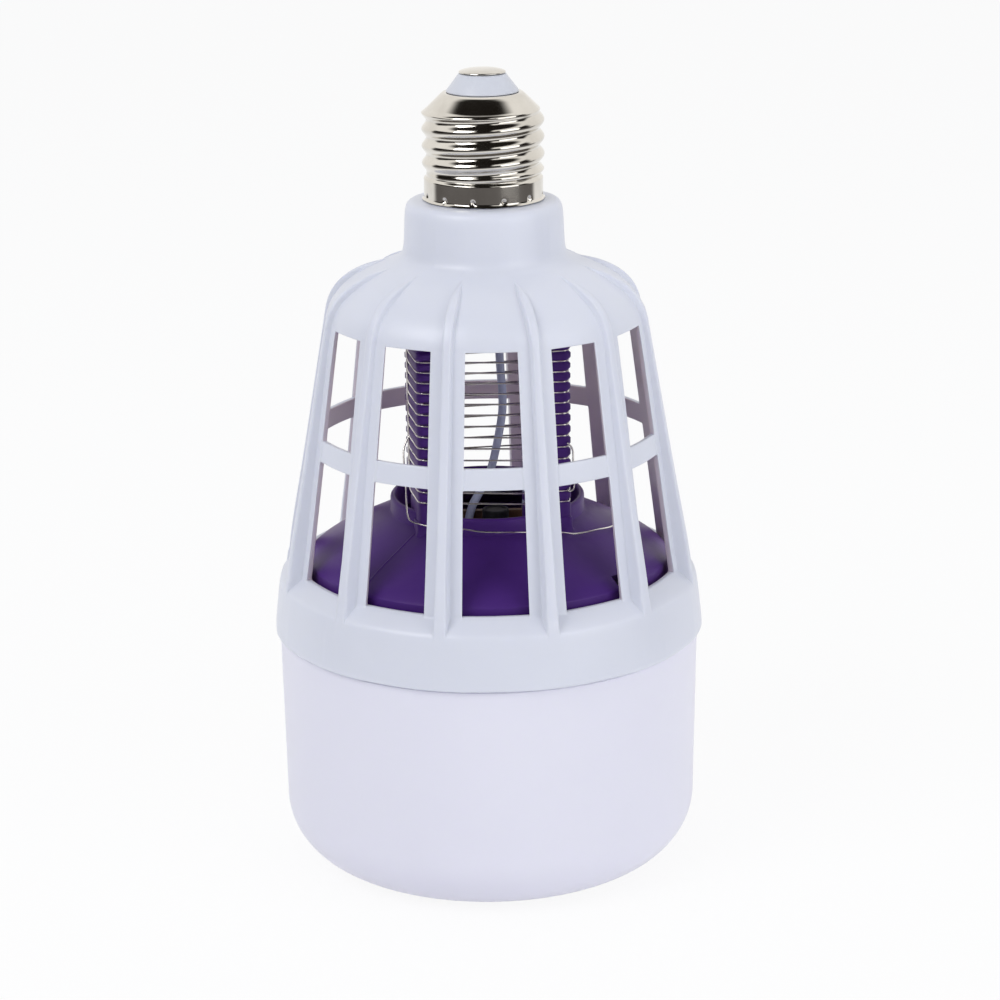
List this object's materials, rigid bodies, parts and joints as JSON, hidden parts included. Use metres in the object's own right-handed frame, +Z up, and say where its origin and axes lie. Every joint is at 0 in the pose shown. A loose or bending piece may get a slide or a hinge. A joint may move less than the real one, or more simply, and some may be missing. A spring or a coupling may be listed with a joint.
{
  "type": "insect killer light bulb",
  "caption": "Screw-cap lamp with a slatted cage round a wire-wound high-voltage grid, a violet lure base and a milky diffuser below.",
  "frame": {"origin": "centre of the diffuser's flat bottom, on the lamp's axis", "axes": "+Z up along the lamp's axis towards the screw cap, -Y through the middle of one window of the cage"},
  "size_m": [0.0948, 0.0948, 0.1755],
  "materials": {
    "white_moulding": "semi-gloss",
    "violet_moulding": "semi-gloss",
    "milky_diffuser": "satin",
    "nickel_plate": "polished",
    "cap_insulator_white": "matte",
    "grid_steel": "drawn",
    "aluminium_plate": "pressed",
    "white_board": "matte",
    "chip_phosphor": "matte",
    "ultraviolet_lens": "clear gloss",
    "lead_sleeve": "matte",
    "phenolic_board": "matte",
    "black_sleeve": "semi-matte",
    "transformer_tape": "satin",
    "film_resin": "glossy",
    "ferrite": "matte"
  },
  "bodies": {
    "root": {"cage_housing": "white_moulding", "diffuser": "milky_diffuser", "screw_shell": "nickel_plate", "cap_insulator": "cap_insulator_white", "centre_contact": "nickel_plate", "grid_base": "violet_moulding", "grid_frame": "violet_moulding", "ground_winding": "grid_steel", "high_voltage_winding": "grid_steel", "live_lead": "lead_sleeve", "neutral_lead": "lead_sleeve", "heat_plate": "aluminium_plate", "lighting_board": "white_board", "ultraviolet_board": "white_board", "driver_board": "phenolic_board", "smoothing_capacitor": "black_sleeve", "high_voltage_transformer": "transformer_tape", "film_capacitor": "film_resin", "rectifier": "black_sleeve", "choke": "ferrite", "board_screw_1": "grid_steel", "board_screw_2": "grid_steel", "board_screw_3": "grid_steel", "lighting_chip_01": "chip_phosphor", "lighting_chip_02": "chip_phosphor", "lighting_chip_03": "chip_phosphor", "lighting_chip_04": "chip_phosphor", "lighting_chip_05": "chip_phosphor", "lighting_chip_06": "chip_phosphor", "lighting_chip_07": "chip_phosphor", "lighting_chip_08": "chip_phosphor", "lighting_chip_09": "chip_phosphor", "lighting_chip_10": "chip_phosphor", "lighting_chip_11": "chip_phosphor", "lighting_chip_12": "chip_phosphor", "ultraviolet_chip_1": "ultraviolet_lens", "ultraviolet_chip_2": "ultraviolet_lens", "ultraviolet_chip_3": "ultraviolet_lens", "ultraviolet_chip_4": "ultraviolet_lens", "ultraviolet_chip_5": "ultraviolet_lens", "ultraviolet_chip_6": "ultraviolet_lens"}
  },
  "joints": []
}
